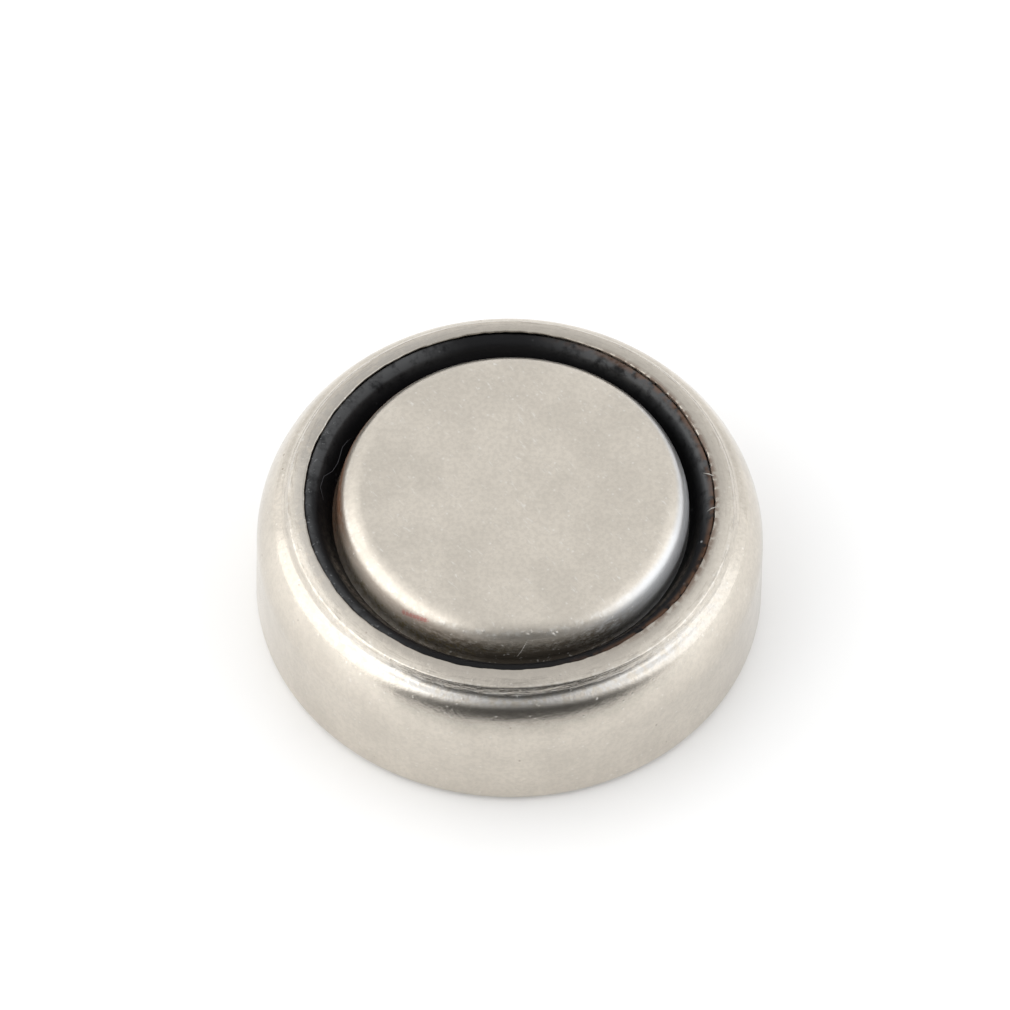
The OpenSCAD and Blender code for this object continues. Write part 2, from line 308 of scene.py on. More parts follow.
def can_section(can):
    swell = lip_corner(can).lerp(ring_corner(can), 0.5) + polar(can.ring_swell, math.pi / 2 - can.ring_slope)
    return (can_corners(can, 0.0)
            + [(*swell, can.ring_swell_radius),
               (*lip_corner(can), can.lip_radius),
               (*beside_lip(can, can.sheet), 0.0)]
            + can_corners(can, can.sheet)[::-1])


def crown_radius(can, cap):
    return lip_corner(can).x - cap.groove_width


def cap_shoulder_height(can, cap):
    return lip_corner(can).y - cap.shoulder_drop


def cap_corners(can, cap, depth):
    """Corners of the cap's form at a depth under its outer face, from the crown's top down to the skirt."""
    skirt_r = CAP_HIGH.x - cap.sheet - cap.fold_gap
    crown_r = crown_radius(can, cap)
    shoulder_z = cap_shoulder_height(can, cap)
    return [(0.0, CAP_HIGH.z - depth, 0.0),
            (crown_r - depth, CAP_HIGH.z - depth, cap.crown_edge_radius - depth),
            (crown_r - depth, shoulder_z - depth, cap.crown_foot_radius + depth),
            (skirt_r - depth, shoulder_z - depth, cap.shoulder_radius - depth)]


def cap_section(can, cap):
    fold_z = CAP_LOW.z
    skirt_r = CAP_HIGH.x - cap.sheet - cap.fold_gap
    turn = cap.sheet + cap.fold_gap / 2
    slot_z = fold_z + cap.sheet
    leaf_z = fold_z + cap.fold_height
    inside = cap_corners(can, cap, cap.sheet)
    outside = cap_corners(can, cap, 0.0)
    fold = [(skirt_r - cap.sheet, fold_z, turn),
            (CAP_HIGH.x, fold_z, turn),
            (CAP_HIGH.x, leaf_z, 0.0),
            (skirt_r + cap.fold_gap, leaf_z, 0.0),
            (skirt_r + cap.fold_gap, slot_z, cap.fold_gap / 2),
            (skirt_r, slot_z, cap.fold_gap / 2)]
    return inside + fold + outside[::-1]


def gasket_section(can, cap, gasket):
    gap = gasket.seat_gap
    bead_out_r = lip_corner(can).x - gap
    bead_in = Vector((bead_out_r - gasket.bead_width, GASKET_HIGH.z))
    foot_r = cap.crown_foot_radius - gap
    shoulder_z = cap_shoulder_height(can, cap) + gap
    foot_centre = Vector((crown_radius(can, cap) + cap.crown_foot_radius, shoulder_z + foot_r))
    bead_foot = meets_circle(bead_in, polar(1.0, -math.pi / 2 - gasket.bead_lean), foot_centre, foot_r, 1)
    spoke = bead_foot - foot_centre
    foot_corner = crossing(bead_foot, Vector((-spoke.y, spoke.x)),
                           Vector((0.0, shoulder_z)), Vector((1.0, 0.0)))

    skirt_r = CAP_HIGH.x - cap.sheet - cap.fold_gap
    turn = cap.sheet + cap.fold_gap / 2 + gap
    fold_mid = Vector((skirt_r + cap.fold_gap / 2, CAP_LOW.z + cap.sheet + cap.fold_gap / 2))
    leaf_z = CAP_LOW.z + cap.fold_height + gap
    leg_top_z = CAP_LOW.z + gasket.leg_height
    leg_out_r = fold_mid.x - turn
    return ([(GASKET_HIGH.x, GASKET_LOW.z, 0.0)]
            + can_corners(can, can.sheet + gap)[2:]
            + [(*beside_lip(can, can.sheet + gap, gap), 0.0),
               (bead_out_r, GASKET_HIGH.z, gasket.bead_edge_radius),
               (*bead_in, gasket.bead_radius),
               (*bead_foot, 0.0),
               (*foot_corner, foot_r),
               cap_corners(can, cap, -gap)[3],
               (skirt_r + gap, leaf_z, 0.0),
               (fold_mid.x + turn, leaf_z, 0.0),
               (fold_mid.x + turn, fold_mid.y - turn, turn),
               (leg_out_r, fold_mid.y - turn, turn),
               (leg_out_r, leg_top_z, 0.0),
               (leg_out_r - gasket.leg_thickness, leg_top_z, 0.0),
               (leg_out_r - gasket.leg_thickness, GASKET_LOW.z, 0.0)])


# ---- Meshes ----

def smoothstep(low, high, value):
    t = np.clip((value - low) / (high - low), 0.0, 1.0)
    return t * t * (3.0 - 2.0 * t)


def wander(points, size, seed):
    """Smooth noise from -1 to 1 at each point, with humps about one size across."""
    shift = Vector((seed * 17.3, seed * 5.1, seed * 9.7))
    return np.array([noise.noise(Vector(p) / size + shift) for p in points])


def uneven(points, *humps):
    """Smooth noise from -1 to 1 with humps of several sizes, each (share, millimetres, seed)."""
    return sum(share * wander(points, size * MM, seed) for share, size, seed in humps)


def link_mesh(name, points, faces):
    mesh = bpy.data.meshes.new(name)
    mesh.from_pydata(points, [], faces)
    piece = bpy.data.objects.new(name, mesh)
    bpy.context.scene.collection.objects.link(piece)
    return piece


def turned(name, corners, segments, arc_step, longest, shape):
    """A mesh turned about Z from an outline's corners, which run anticlockwise. Its arcs have a point every
    arc_step, none of its sides is longer than longest, and its points on the axis become one vertex each.
    shape moves the vertices: it takes and gives an array of points."""
    outline = densified(rounded(corners, arc_step), longest)
    angles = np.arange(segments) * (2 * math.pi / segments)
    spin = np.stack([np.cos(angles), np.sin(angles)], axis=1)
    points, rings = [], []
    for r, z in outline:
        first = len(points)
        if r < 1e-9:
            points.append((0.0, 0.0, z))
            rings.append([first] * segments)
        else:
            points.extend((r * c, r * s, z) for c, s in spin)
            rings.append(range(first, first + segments))
    faces = []
    for low, high in zip(rings, rings[1:] + rings[:1]):
        for j in range(segments):
            k = (j + 1) % segments
            face = list(dict.fromkeys((low[j], low[k], high[k], high[j])))
            if len(face) > 2:
                faces.append(face)
    piece = link_mesh(name, shape(np.array(points)).tolist(), faces)
    piece.data.shade_smooth()
    piece.data.set_sharp_from_angle(angle=math.radians(40.0))
    return piece


def threads(name, paths, radius, sides=6):
    """Fine round fibres in one mesh, each along a path of points, drawn out thin at both ends."""
    points, faces = [], []
    for path in paths:
        first = len(points)
        for i, spot in enumerate(path):
            along = (path[min(i + 1, len(path) - 1)] - path[max(i - 1, 0)]).normalized()
            aside = along.orthogonal().normalized()
            taper = radius * (0.35 + 0.65 * math.sin(math.pi * i / (len(path) - 1)))
            for s in range(sides):
                points.append(spot + taper * (Matrix.Rotation(2 * math.pi * s / sides, 3, along) @ aside))
        for i in range(len(path) - 1):
            for s in range(sides):
                a, b = first + i * sides + s, first + i * sides + (s + 1) % sides
                faces.append((a, b, b + sides, a + sides))
        faces.append(tuple(range(first + sides - 1, first - 1, -1)))
        faces.append(tuple(range(len(points) - sides, len(points))))
    piece = link_mesh(name, [tuple(p) for p in points], faces)
    piece.data.shade_smooth()
    return piece


def dress(piece, material, node=None):
    """Gives a piece its material, ties it to the cell and hides the CAD node that it stands for, if one is
    given.
    """
    piece.data.materials.append(material)
    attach(piece, "root")
    if node:
        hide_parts(node)


def direction(azimuth, elevation=0.0):
    """The way to something at an azimuth, counted from the front to the right, and an elevation."""
    return Vector((math.sin(azimuth) * math.cos(elevation), -math.cos(azimuth) * math.cos(elevation),
                   math.sin(elevation)))


def around(azimuth, r, z):
    """The point at an azimuth in degrees, counted from the front to the right, in the units of r and z."""
    spot = direction(math.radians(azimuth)) * r
    return Vector((spot.x, spot.y, z))


# ---- Shader nodes ----

class Wiring:
    """Adds nodes to a tree and joins their sockets."""

    def __init__(self, tree):
        self.tree = tree

    def join(self, value, socket):
        if isinstance(value, bpy.types.NodeSocket):
            self.tree.links.new(value, socket)
        elif isinstance(socket, bpy.types.NodeSocketColor) and len(value) == 3:
            socket.default_value = (*value, 1.0)
        else:
            socket.default_value = value

    def add(self, kind, inputs=None, **settings):
        node = self.tree.nodes.new(kind)
        for name, value in settings.items():
            setattr(node, name, value)
        for key, value in (inputs or {}).items():
            self.join(value, node.inputs[key])
        return node

    def math(self, operation, *values):
        return self.add("ShaderNodeMath", dict(enumerate(values)), operation=operation).outputs[0]

    def product(self, first, *others):
        for other in others:
            first = self.math("MULTIPLY", first, other)
        return first

    def total(self, first, *others):
        for other in others:
            first = self.math("ADD", first, other)
        return first

    def most(self, first, *others):
        for other in others:
            first = self.math("MAXIMUM", first, other)
        return first

    def vector(self, operation, *values, scale=None):
        inputs = dict(enumerate(values))
        if scale is not None:
            inputs["Scale"] = scale
        node = self.add("ShaderNodeVectorMath", inputs, operation=operation)
        return node.outputs["Value" if operation in ("LENGTH", "DOT_PRODUCT", "DISTANCE") else "Vector"]

    def ramp(self, value, low, high, to_low=0.0, to_high=1.0):
        """A smooth change from one value to another as the input goes from low to high."""
        inputs = {"Value": value, "From Min": low, "From Max": high, "To Min": to_low, "To Max": to_high}
        return self.add("ShaderNodeMapRange", inputs, interpolation_type="SMOOTHSTEP").outputs["Result"]

    def noise(self, place, scale, detail=2.0, roughness=0.5):
        inputs = {"Vector": place, "Scale": scale, "Detail": detail, "Roughness": roughness}
        return self.add("ShaderNodeTexNoise", inputs).outputs["Fac"]

    def mix(self, amount, a, b):
        node = self.add("ShaderNodeMix", data_type="RGBA")
        factor_socket, a_socket, b_socket = (next(s for s in node.inputs if s.enabled and s.name == name)
                                             for name in ("Factor", "A", "B"))
        self.join(amount, factor_socket)
        self.join(a, a_socket)
        self.join(b, b_socket)
        return next(s for s in node.outputs if s.enabled)

    def level(self, place):
        """The part of a place that lies across the axis."""
        return self.vector("MULTIPLY", place, (1.0, 1.0, 0.0))

    def from_axis(self, place):
        return self.vector("LENGTH", self.level(place))

    def height(self, place):
        return self.add("ShaderNodeSeparateXYZ", {"Vector": place}).outputs["Z"]

    def place(self):
        """Where a point of the piece is, in millimetres in the cell's frame."""
        coordinates = self.add("ShaderNodeTexCoord")
        return self.vector("SCALE", coordinates.outputs["Object"], scale=1.0 / MM)

    def group(self, tree, **inputs):
        return self.add("ShaderNodeGroup", {name.replace("_", " "): value for name, value in inputs.items()},
                        node_tree=tree).outputs


def shared_group(name, inputs, outputs, build):
    """A shader node group, built once: inputs are (name, default), and build gives a socket per output."""
    tree = bpy.data.node_groups.get(name)
    if tree:
        return tree
    tree = bpy.data.node_groups.new(name, "ShaderNodeTree")
    tree.interface.new_socket("Place", in_out="INPUT", socket_type="NodeSocketVector")
    for socket_name, default in inputs:
        kind = "NodeSocketFloat" if isinstance(default, float) else "NodeSocketVector"
        tree.interface.new_socket(socket_name, in_out="INPUT", socket_type=kind).default_value = default
    for socket_name in outputs:
        tree.interface.new_socket(socket_name, in_out="OUTPUT", socket_type="NodeSocketFloat")
    wiring = Wiring(tree)
    entry = wiring.add("NodeGroupInput")
    leave = wiring.add("NodeGroupOutput")
    for socket_name, socket in zip(outputs, build(wiring, entry.outputs)):
        tree.links.new(socket, leave.inputs[socket_name])
    return tree


def plate_grain_group():
    """The grain of matt nickel: a fine tooth, a soft orange peel and scattered bright grains."""
    def build(w, given):
        place = given["Place"]
        tooth = w.noise(place, given["Tooth"], detail=3.0, roughness=0.6)
        peel = w.noise(place, given["Peel"], detail=1.0)
        grains = w.add("ShaderNodeTexVoronoi", {"Vector": place, "Scale": given["Grains"]})
        chosen = w.add("ShaderNodeSeparateColor", {"Color": grains.outputs["Color"]}).outputs["Red"]
        few = w.math("GREATER_THAN", chosen, given["Sparse"])
        glint = w.product(w.ramp(grains.outputs["Distance"], 0.38, 0.05), few)
        return w.total(w.product(tooth, 0.6), w.product(peel, 0.9), w.product(glint, 0.5)), glint
    return shared_group("Plate grain", [("Tooth", 15.0), ("Peel", 4.0), ("Grains", 13.0), ("Sparse", 0.9)],
                        ["Height", "Glint"], build)


def hairline_group():
    """Short straight scratches, each at its own angle: one in every cell that is chosen."""
    def build(w, given):
        cells = w.add("ShaderNodeTexVoronoi", {"Vector": given["Place"], "Scale": given["Scale"]})
        from_middle = w.vector("SUBTRACT", given["Place"], cells.outputs["Position"])
        pick = w.add("ShaderNodeSeparateColor", {"Color": cells.outputs["Color"]}).outputs
        way = w.add("ShaderNodeCombineXYZ", {
            "X": w.math("SUBTRACT", pick["Red"], 0.5),
            "Y": w.math("SUBTRACT", pick["Green"], 0.5),
            "Z": w.product(w.math("SUBTRACT", pick["Blue"], 0.5), 0.7)}).outputs[0]
        way = w.vector("NORMALIZE", way)
        along = w.vector("DOT_PRODUCT", from_middle, way)
        off = w.vector("LENGTH", w.vector("SUBTRACT", from_middle, w.vector("SCALE", way, scale=along)))
        line = w.ramp(off, given["Width"], 0.0)
        ends = w.ramp(w.math("ABSOLUTE", along), given["Length"], w.product(given["Length"], 0.3))
        return [w.product(line, ends, w.math("LESS_THAN", pick["Red"], given["Share"]))]
    return shared_group("Hairlines", [("Scale", 1.2), ("Width", 0.012), ("Length", 0.35), ("Share", 0.5)],
                        ["Mask"], build)


def circle_band_group():
    """How near a point is to a circle round the axis: 1 on the circle, 0 beyond the reach."""
    def build(w, given):
        aside = w.math("SUBTRACT", w.from_axis(given["Place"]), given["Radius"])
        above = w.math("SUBTRACT", w.height(given["Place"]), given["Height"])
        away = w.math("SQRT", w.total(w.product(aside, aside), w.product(above, above)))
        return [w.ramp(away, given["Reach"], 0.0)]
    return shared_group("Circle band", [("Radius", 1.0), ("Height", 0.0), ("Reach", 0.1)], ["Mask"], build)


def sector_group():
    """How near a point's azimuth is to a way that has length 1: 1 on it, 0 beyond an angle."""
    def build(w, given):
        flat = w.vector("NORMALIZE", w.level(given["Place"]))
        aside = w.math("ARCCOSINE", w.vector("DOT_PRODUCT", flat, given["Toward"]))
        return [w.ramp(aside, given["Wide"], w.product(given["Wide"], 0.5))]
    return shared_group("Sector", [("Toward", (0.0, -1.0, 0.0)), ("Wide", 0.5)], ["Mask"], build)


def blot_group():
    """A ragged blot round a centre: 1 inside it, 0 beyond the reach."""
    def build(w, given):
        away = w.vector("DISTANCE", given["Place"], given["Centre"])
        rough_edge = w.noise(given["Place"], given["Ragged"], detail=3.0, roughness=0.7)
        away = w.product(away, w.ramp(rough_edge, 0.35, 0.65, 0.5, 1.5))
        return [w.ramp(away, given["Reach"], w.product(given["Reach"], 0.5))]
    return shared_group("Blot", [("Centre", (0.0, 0.0, 0.0)), ("Reach", 0.1), ("Ragged", 14.0)],
                        ["Mask"], build)


# ---- Materials ----

def mark_row(first, last, count):
    """Marks in a row from the first to the last."""
    return [tuple(a + (b - a) * k / (count - 1) for a, b in zip(first, last)) for k in range(count)]


# Small marks, as (azimuth, r, z, reach), and the paths of fibres, as (azimuth, r, z). Azimuths are counted
# in degrees from the front to the right, and the rest is in millimetres.
CAN_NICKS = [(-13.6, 5.58, 3.04, 0.12), (-11.2, 5.59, 3.02, 0.13), (-8.8, 5.57, 3.06, 0.12),
             (-12.4, 5.15, 3.55, 0.06), (3.7, 5.20, 3.49, 0.09), (6.4, 5.40, 3.35, 0.12),
             (16.2, 5.17, 3.53, 0.12), (22.0, 5.44, 3.32, 0.12)]
CROWN_NICKS = [(-8.3, 3.86, 3.925, 0.10), (-6.0, 3.985, 3.757, 0.08), (7.4, 3.86, 3.925, 0.10),
               (11.3, 3.886, 3.90, 0.10), (16.3, 3.912, 3.87, 0.10), (24.0, 3.90, 3.88, 0.09)]
RED_STREAK = mark_row((-37.0, 3.97, 3.715, 0.075), (-28.9, 3.9223, 3.8158, 0.075), 7)
NYLON_SPECKS = [(77.6, 4.49, 3.62, 0.06), (82.8, 4.16, 3.42, 0.05)]
LIP_FIBRES = [[(102.0, 4.49, 3.65), (100.5, 4.60, 3.75), (99.1, 4.70, 3.81)],
              [(88.3, 4.50, 3.66), (88.5, 4.60, 3.76), (88.8, 4.73, 3.81)]]
GROOVE_FIBRE = [(7.3, 3.915, 3.885), (5.8, 4.02, 3.77), (4.4, 4.12, 3.64), (2.9, 4.20, 3.53)]
GROOVE_CURL = [(-115.5, 4.03, 3.62), (-113.6, 4.10, 3.62), (-110.7, 4.15, 3.60), (-107.5, 4.12, 3.58),
               (-104.6, 4.11, 3.58), (-100.9, 4.17, 3.60), (-97.9, 4.33, 3.66), (-93.8, 4.37, 3.68),
               (-89.4, 4.28, 3.64)]

# Circles round the axis, as an outline's (r, z).
LEDGE = (5.32 * MM, 3.39 * MM)
STEP_FOOT = (5.18 * MM, 3.52 * MM)


def dimmed(value, share):
    return tuple(share * c for c in value)


def new_material(name, base_colour, roughness, metallic=0.0):
    """A material, the wiring of its nodes and its Principled BSDF."""
    material = bpy.data.materials.new(name)
    material.use_nodes = True
    shader = material.node_tree.nodes["Principled BSDF"]
    shader.inputs["Base Color"].default_value = (*base_colour, 1.0)
    shader.inputs["Roughness"].default_value = roughness
    shader.inputs["Metallic"].default_value = metallic
    return material, Wiring(material.node_tree), shader


def bump(w, height, millimetres=1.0):
    """A normal from heights, where a height of 1 stands for that many millimetres."""
    inputs = {"Height": height, "Strength": 1.0, "Distance": millimetres * MM}
    return w.add("ShaderNodeBump", inputs).outputs["Normal"]


class Skin:
    """A piece's material while it is wired: a base colour that others are laid over, and masks for that.
    Azimuths and half widths are in degrees, and reaches in millimetres."""

    def __init__(self, name, base_colour, roughness, metallic=0.0):
        self.material, self.w, self.shader = new_material(name, base_colour, roughness, metallic)
        self.place = self.w.place()
        self.base = base_colour

    def paint(self, over, *amounts):
        """Lays a colour over the base by the product of the amounts."""
        self.base = self.w.mix(self.w.product(*amounts), self.base, over)

    def noise(self, scale, detail=2.0, roughness=0.5):
        return self.w.noise(self.place, scale, detail, roughness)

    def stretched(self, x, y, z):
        """A place for noise that has its own scale along each axis."""
        return self.w.vector("MULTIPLY", self.place, (x, y, z))

    def moved(self, x, y, z):
        return self.w.vector("ADD", self.place, (x, y, z))

    def round_axis(self, run, around_scale, across_scale):
        """A place for noise that is drawn out round the axis. run is how far across the streaks it lies."""
        way = self.w.vector("NORMALIZE", self.w.level(self.place))
        across = self.w.add("ShaderNodeCombineXYZ", {"Z": self.w.product(run, across_scale)}).outputs[0]
        return self.w.vector("ADD", self.w.vector("SCALE", way, scale=around_scale), across)

    def near(self, circle, reach):
        """A mask round the circle that an outline's point describes."""
        r, z = circle
        return self.w.group(circle_band_group(), Place=self.place, Radius=r / MM, Height=z / MM,
                            Reach=reach)["Mask"]

    def sector(self, azimuth, half_width):
        """A mask round an azimuth."""
        return self.w.group(sector_group(), Place=self.place, Toward=direction(math.radians(azimuth)),
                            Wide=math.radians(half_width))["Mask"]

    def blots(self, marks, ragged=14.0):
        """The masks of several blots in one. A higher ragged gives them a finer edge."""
        masks = [self.w.group(blot_group(), Place=self.place, Centre=around(azimuth, r, z), Reach=reach,
                              Ragged=ragged)["Mask"] for azimuth, r, z, reach in marks]
        return self.w.most(*masks)

    def scratches(self, **settings):
        return self.w.group(hairline_group(), **{"Place": self.place, **settings})["Mask"]

    def strokes(self, scale):
        """Short bright strokes, one in nearly every cell."""
        return self.scratches(Scale=scale, Width=0.28 / scale, Length=0.75 / scale, Share=0.95)

    def done(self, **sockets):
        """Feeds the base colour and these sockets to the shader, and gives the material."""
        self.w.join(self.base, self.shader.inputs["Base Color"])
        for name, value in sockets.items():
            self.w.join(value, self.shader.inputs[name.replace("_", " ")])
        return self.material


def nickel_skin(name, finishes, roughness, drawn_share):
    """Satin nickel with what both metal pieces share: blotches, of which a share is drawn out upward,
    speckles, grains painted bright as glints, and scratches painted a little bright, partly as glints. Gives
    the skin, its roughness and its relief in millimetres."""
    skin = Skin(name, finishes.nickel, roughness, metallic=1.0)
    w = skin.w
    grain = w.group(plate_grain_group(), Place=skin.place, Grains=9.0)
    fine = skin.scratches(Scale=1.5, Width=0.010, Length=0.30, Share=0.55)
    bold = skin.scratches(Place=skin.moved(3.1, 7.7, 1.9), Scale=0.7, Width=0.016, Length=0.45, Share=0.40)
    scratches = w.most(w.product(fine, 0.5), bold)
    blotch = skin.noise(0.8, detail=3.0, roughness=0.6)
    drawn = w.noise(skin.stretched(6.0, 6.0, 0.35), 1.0)
    tone = w.total(w.product(blotch, 1.0 - drawn_share), w.product(drawn, drawn_share))
    speckle = skin.noise(9.0, roughness=0.7)
    skin.base = w.mix(w.ramp(tone, 0.35, 0.65), dimmed(finishes.nickel, 0.90), finishes.nickel)
    skin.paint(dimmed(finishes.nickel, 0.6), w.ramp(speckle, 0.62, 0.36), 0.22)
    # Painted glints: bright nickel on the grains, and a little on the scratches.
    skin.paint(finishes.bright_nickel_and_glint, w.most(w.product(grain["Glint"], 0.45), w.product(scratches, 0.3)))
    rough = w.ramp(tone, 0.3, 0.7, roughness + 0.02, roughness - 0.02)
    relief = w.math("SUBTRACT", w.product(grain["Height"], 0.0040), w.product(scratches, 0.0030))
    return skin, rough, relief


def can_material(finishes, lip, ring_edge):
    """The can's nickel. The ring is darker beside the lip, with a bluish film at the left, a brown stain at
    the right, turned lines, bright edges that are partly painted highlights, and painted glints along the
    lip at the left. The ledge has a painted bluish highlight, the front is nicked, and all of it pitted."""
    skin, rough, relief = nickel_skin("can_nickel", finishes, roughness=0.17, drawn_share=0.15)
    w = skin.w
    ragged = skin.noise(5.0, detail=3.0, roughness=0.65)
    # Brighter nickel round the ring's outer edge and the lip's edge: partly rubbed, partly a painted
    # highlight.
    skin.paint(finishes.bright_nickel_and_glint, w.most(skin.near(ring_edge, 0.09), skin.near(lip, 0.10)),
               w.ramp(ragged, 0.42, 0.62), skin.sector(-15.0, 150.0), 0.45)
    skin.paint(finishes.cool_nickel, skin.near(lip, 0.42), skin.sector(-105.0, 75.0),
               w.ramp(ragged, 0.30, 0.55), 0.75)
    # A painted bluish highlight on the ledge under the step, in front.
    skin.paint(finishes.painted_cool_sheen, skin.near(LEDGE, 0.30), skin.sector(5.0, 75.0),
               w.ramp(ragged, 0.35, 0.60), 0.55)
    nicks = w.product(skin.blots(CAN_NICKS), skin.strokes(6.5))
    skin.paint(finishes.bright_nickel_and_glint, nicks, 0.9)
    pits = w.group(plate_grain_group(), Place=skin.moved(9.0, 2.0, 5.0), Grains=4.5, Sparse=0.975)["Glint"]
    skin.paint(finishes.stain, w.ramp(pits, 0.7, 1.0), 0.45)
    # Darker nickel beside the lip, in ragged patches.
    skin.paint(dimmed(finishes.nickel, 0.6), skin.near(lip, 0.60),
               w.ramp(ragged, 0.25, 0.60, 0.8, 1.0), 0.90)

    run = w.math("SUBTRACT", w.from_axis(skin.place), w.height(skin.place))
    turned_lines = w.noise(skin.round_axis(run, 9.0, 11.0), 1.0, detail=3.0, roughness=0.65)
    skin.paint(dimmed(finishes.nickel, 0.45), skin.near(ring_edge, 0.45),
               w.ramp(turned_lines, 0.50, 0.66), 0.40)
    # Painted glints along the lip's edge at the left.
    skin.paint(finishes.bright_nickel_and_glint, skin.near(lip, 0.09), skin.sector(-105.0, 60.0),
               w.ramp(skin.noise(13.0), 0.54, 0.64), 0.8)
    stained = w.product(skin.near((lip.x, lip.y - 0.05 * MM), 0.14), skin.sector(95.0, 80.0),
                        w.ramp(skin.noise(6.0, detail=3.0), 0.36, 0.54))
    skin.paint(finishes.stain, stained, 0.85)

    relief = w.total(relief, w.product(nicks, 0.004),
                     w.product(skin.near(STEP_FOOT, 0.20), turned_lines, 0.010))
    matt = w.most(w.product(nicks, 0.35), w.product(stained, 0.7))
    return skin.done(Roughness=w.total(rough, w.product(stained, 0.3)),
                     Metallic=w.math("SUBTRACT", 1.0, matt), Normal=bump(w, relief))


def cap_material(finishes, crown_edge, crown_foot):
    """The cap's nickel. The crown's flat is rolled, with painted glints, and its edge rubbed, with a painted
    bluish sheen down it at the right. Its wall is gritty at the left, pitted with a dimmed painted bluish
    sheen at the right, darkened by painted shade in front and rusty behind at the left. The wall is darker
    toward its foot, in a soil colour, gold flecks lie there, and a red streak, scratches and nicks near its
    top."""
    skin, rough, relief = nickel_skin("cap_nickel", finishes, roughness=0.30, drawn_share=0.0)
    w = skin.w
    skin.shader.inputs["Specular IOR Level"].default_value = 0.1
    up = w.height(skin.place)
    ragged = skin.noise(6.0, detail=3.0, roughness=0.65)
    askew = w.add("ShaderNodeVectorRotate", {"Vector": skin.place, "Angle": math.radians(50.0)},
                  rotation_type="Z_AXIS").outputs[0]
    # Painted glints: short bright strokes across the crown's flat, along its rolling.
    rolled = w.noise(w.vector("MULTIPLY", askew, (4.5, 14.0, 4.5)), 1.0)
    skin.paint(finishes.bright_nickel_and_glint, w.ramp(rolled, 0.62, 0.80), 0.5)
    skin.paint(finishes.bright_nickel_and_glint, skin.near(crown_edge, 0.14), w.ramp(ragged, 0.46, 0.64), 0.5)

    # Each ramp of up runs from the height where a layer starts to the one where it is full.
    # A painted bluish sheen down the crown's edge at the right.
    skin.paint(finishes.painted_cool_sheen, w.ramp(up, 4.03, 3.92), skin.sector(88.0, 62.0), 0.8)
    run = w.math("SUBTRACT", w.from_axis(skin.place), up)
    mottle = w.noise(skin.round_axis(run, 24.0, 12.0), 1.0, detail=4.0, roughness=0.75)
    wall = w.product(w.ramp(up, 3.93, 3.76), w.ramp(up, 3.20, 3.50, 0.4, 1.0),
                     w.ramp(mottle, 0.35, 0.60, 0.55, 1.0))
    gritty = w.product(wall, skin.sector(-58.0, 58.0))
    skin.paint(finishes.grit, gritty, 0.85)
    # The wall at the right is pitted and matt, and painted in a dimmed bluish sheen, a painted reflection.
    pitted = w.product(wall, skin.sector(66.0, 52.0))
    skin.paint(dimmed(finishes.painted_cool_sheen, 0.72), pitted, 0.85)
    # Painted shade, brownish, darkening the crown's lower wall in front toward the groove.
    groove_shade = w.product(w.ramp(up, 3.88, 3.58), w.ramp(mottle, 0.66, 0.42), skin.sector(5.0, 48.0))
    skin.paint(finishes.painted_groove_shade, groove_shade, 0.8)
    rusty = w.product(w.ramp(up, 3.93, 3.74), skin.sector(-112.0, 52.0), w.ramp(mottle, 0.25, 0.48))
    skin.paint(finishes.rust, rusty, 0.9)

    flecks = w.ramp(skin.noise(8.0, detail=3.0, roughness=0.7), 0.48, 0.60)
    skin.paint(finishes.gold_fleck, skin.near(crown_foot, 0.35), skin.sector(-35.0, 55.0), flecks, 0.8)
    # Darker toward the wall's foot, in the soil colour, less where the wall is gritty or pitted.
    deep = w.product(w.ramp(up, 3.56, 3.38), w.ramp(w.most(gritty, pitted), 0.0, 0.4, 1.0, 0.3))
    skin.paint(finishes.soil, deep)
    red = skin.blots(RED_STREAK, 45.0)
    skin.paint(finishes.red_fleck, red, 0.75)
    scored = w.product(skin.strokes(9.0), w.ramp(up, 3.97, 3.86), skin.sector(-10.0, 95.0),
                       w.ramp(ragged, 0.50, 0.62))
    nicks = w.product(skin.blots(CROWN_NICKS), skin.strokes(6.5))
    skin.paint(finishes.bright_nickel_and_glint, w.most(w.product(scored, 0.6), w.product(nicks, 0.9)))

    front = skin.sector(5.0, 85.0)
    down_wall = w.product(w.ramp(up, 3.92, 3.68), w.ramp(ragged, 0.25, 0.65, 0.75, 1.0), front)
    relief = w.total(relief, w.product(nicks, 0.005), w.product(down_wall, mottle, 0.012))
    matt = w.most(w.product(scored, 0.35), w.product(nicks, 0.35), w.product(rusty, 0.9),
                  w.product(groove_shade, 0.22), w.product(red, 0.4), w.product(w.most(gritty, pitted), 0.7), deep)
    return skin.done(Roughness=w.total(rough, w.product(down_wall, 0.28)),
                     Metallic=w.math("SUBTRACT", 1.0, matt), Normal=bump(w, relief))


